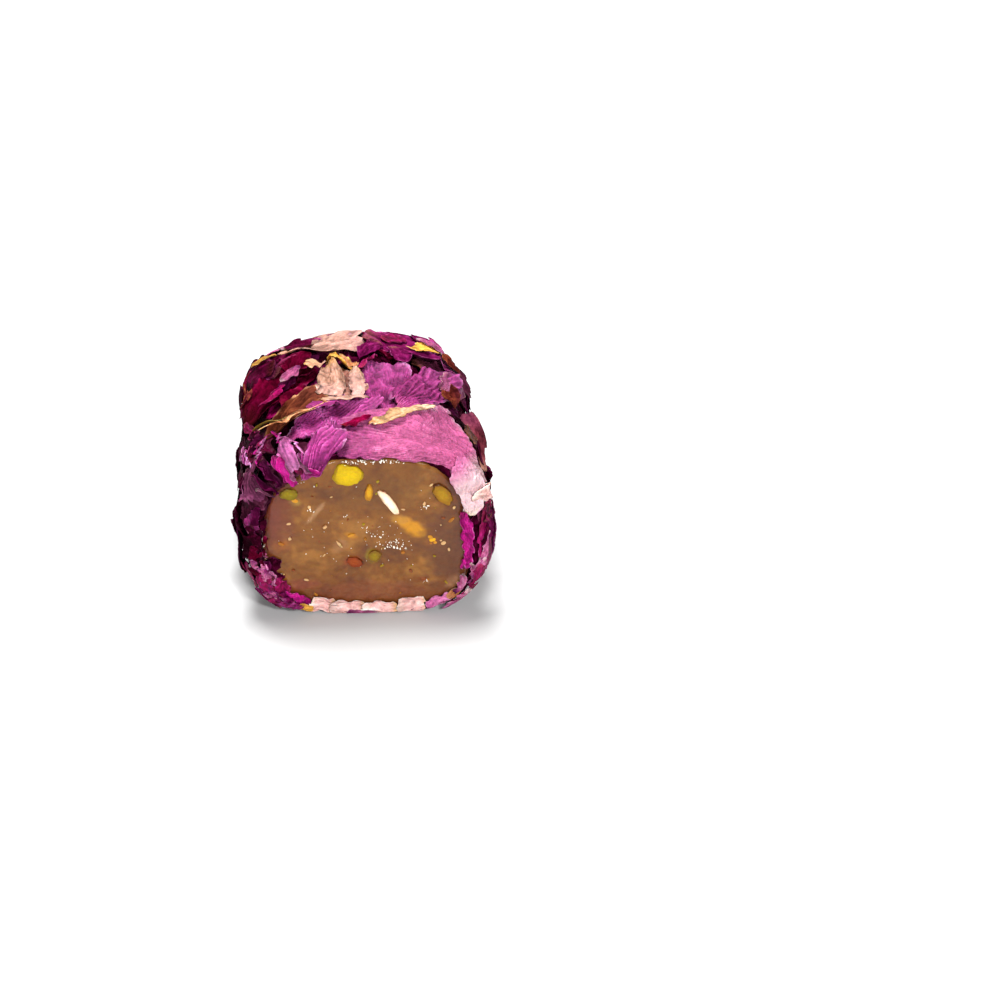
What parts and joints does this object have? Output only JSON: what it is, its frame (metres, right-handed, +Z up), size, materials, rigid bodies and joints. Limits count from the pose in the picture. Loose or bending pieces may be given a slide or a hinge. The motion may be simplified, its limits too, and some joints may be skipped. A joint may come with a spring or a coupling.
{
  "type": "rose petal lokum piece",
  "caption": "Squarish bite of soft brown jelly with nuts in both cut faces, wrapped all round in a crumpled coat of dried rose petals.",
  "frame": {"origin": "under the middle of the bounding box, on the surface that the piece stands on", "axes": "+Z up, +Y from the front cut face to the back one, +X to the right of the front cut face"},
  "size_m": [0.0392, 0.0358, 0.0307],
  "materials": {
    "petal_coat": "matte pressed dried petals, dark maroon to purple",
    "lokum": "translucent cloudy brown jelly, moist on the cut",
    "pistachio": "waxy yellow-green nut flesh",
    "almond": "pale nut flesh",
    "hazelnut": "red-brown nut crumb",
    "petal_maroon": "matte dried petal, black-maroon",
    "petal_plum": "matte dried petal, plum",
    "petal_dusty": "matte dried petal, dusty purple",
    "petal_magenta": "matte dried petal, deep magenta",
    "petal_orchid": "pleated dried petal, orchid purple",
    "petal_pink": "finely creased dried petal, pink to pale pink",
    "petal_cream": "dried petal, cream-pink with yellow base",
    "petal_tan": "curled dried petal, tan to brown"
  },
  "bodies": {
    "root": {"petal_coat": "petal_coat", "lokum": "lokum", "pistachio_gold": "pistachio", "pistachio_sliver": "pistachio", "pistachio_green": "pistachio", "almond_sliver": "almond", "pistachio_dark": "pistachio", "pistachio_olive": "pistachio", "hazelnut_crumb": "hazelnut", "pistachio_back_1": "pistachio", "pistachio_back_2": "pistachio", "almond_back": "almond", "pistachio_back_3": "pistachio", "petal_01": "petal_dusty", "petal_02": "petal_maroon", "petal_03": "petal_maroon", "petal_04": "petal_maroon", "petal_05": "petal_maroon", "petal_06": "petal_maroon", "petal_07": "petal_magenta", "petal_08": "petal_maroon", "petal_09": "petal_maroon", "petal_10": "petal_plum", "petal_11": "petal_maroon", "petal_12": "petal_magenta", "petal_13": "petal_dusty", "petal_14": "petal_magenta", "petal_15": "petal_orchid", "petal_16": "petal_orchid", "petal_17": "petal_orchid", "petal_18": "petal_pink", "petal_19": "petal_orchid", "petal_20": "petal_pink", "petal_21": "petal_orchid", "petal_22": "petal_magenta", "petal_23": "petal_cream", "petal_24": "petal_tan", "petal_25": "petal_cream", "petal_26": "petal_plum", "petal_27": "petal_dusty"}
  },
  "joints": []
}
